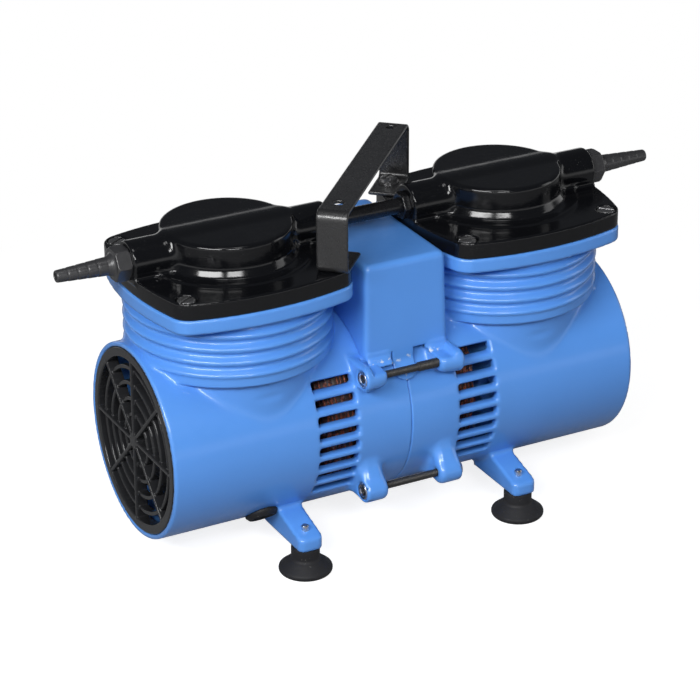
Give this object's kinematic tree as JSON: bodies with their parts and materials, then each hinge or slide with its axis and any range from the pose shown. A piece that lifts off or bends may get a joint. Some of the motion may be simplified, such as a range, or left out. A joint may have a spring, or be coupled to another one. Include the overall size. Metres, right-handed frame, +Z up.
{
  "type": "vacuum pump",
  "caption": "Oil-free electric diaphragm vacuum pump: blue cast motor drum with finned barrels, black heads joined by a tube, ribbed hose tails, strap handle and rubber feet.",
  "frame": {"origin": "on the ground, midway between the four rubber feet (bottom centre of the box)", "axes": "+X along the motor shaft from the left end to the right end, +Z up, -Y the front with the two feet and lugs nearest the picture"},
  "size_m": [0.345, 0.1356, 0.1941],
  "materials": {
    "enamel": "semi-gloss blue enamel on cast aluminium",
    "head_black": "gloss black enamel on cast aluminium",
    "powder_black": "satin black powder coat on steel strap",
    "plastic": "matt dark moulded nylon",
    "pale_plastic": "matt cream moulded plastic",
    "rubber": "matt dark rubber",
    "steel": "bright turned steel",
    "dark_steel": "dark drawn steel",
    "black_screw": "blackened steel screws",
    "core_steel": "stacked steel laminations",
    "cast_iron": "bare cast iron",
    "cast_aluminium": "bare die-cast aluminium",
    "copper": "varnished copper windings",
    "capacitor_can": "drawn aluminium can",
    "gasket": "thin sealing sheet"
  },
  "bodies": {
    "casing": {"casing_left": "enamel", "casing_right": "enamel", "grille_left": "plastic", "grille_right": "plastic", "bearing_left": "steel", "bearing_right": "steel", "stator_core": "core_steel", "stator_windings": "copper", "tie_rods": "dark_steel", "tie_rod_nuts": "steel", "terminal_box_cover": "enamel", "run_capacitor": "capacitor_can", "terminal_block": "pale_plastic", "cable_grommet": "rubber", "access_plug_left": "rubber", "access_plug_right": "rubber", "foot_front_left": "rubber", "foot_front_right": "rubber", "foot_rear_left": "rubber", "foot_rear_right": "rubber", "foot_studs": "steel", "cylinder_head_left": "head_black", "cylinder_head_right": "head_black", "valve_plate_left": "cast_aluminium", "valve_plate_right": "cast_aluminium", "head_gasket_left": "gasket", "head_gasket_right": "gasket", "reed_valves_left": "steel", "reed_valves_right": "steel", "diaphragm_left": "rubber", "diaphragm_right": "rubber", "head_screws_left": "black_screw", "head_screws_right": "black_screw", "hose_tail_left": "plastic", "hose_tail_right": "plastic", "link_tube": "plastic", "tube_nut_left": "plastic", "tube_nut_right": "plastic", "carry_handle": "powder_black", "handle_screws": "black_screw"},
    "rotor": {"motor_shaft": "steel", "rotor_core": "core_steel", "eccentric_left": "cast_iron", "eccentric_right": "cast_iron", "fan_left": "plastic", "fan_right": "plastic"},
    "rod_left": {"con_rod_left": "cast_aluminium", "rod_bearing_left": "steel", "clamp_plate_left": "cast_aluminium", "clamp_screw_left": "steel"},
    "rod_right": {"con_rod_right": "cast_aluminium", "rod_bearing_right": "steel", "clamp_plate_right": "cast_aluminium", "clamp_screw_right": "steel"}
  },
  "joints": [
    {"name": "motor_spin", "type": "hinge", "parent": "casing", "child": "rotor", "pos_m": [0, 0, 0.068], "axis": [1, 0, 0], "continuous": true},
    {"name": "rod_left_pivot", "type": "hinge", "parent": "rotor", "child": "rod_left", "pos_m": [-0.0793, 0, 0.071], "axis": [1, 0, 0], "continuous": true, "deforming": ["diaphragm_left"]},
    {"name": "rod_right_pivot", "type": "hinge", "parent": "rotor", "child": "rod_right", "pos_m": [0.0793, 0, 0.065], "axis": [1, 0, 0], "continuous": true, "deforming": ["diaphragm_right"]}
  ],
  "couplings": [
    {"joint": "rod_left_pivot", "follows": "motor_spin", "ratio": -1},
    {"joint": "rod_right_pivot", "follows": "motor_spin", "ratio": -1}
  ]
}
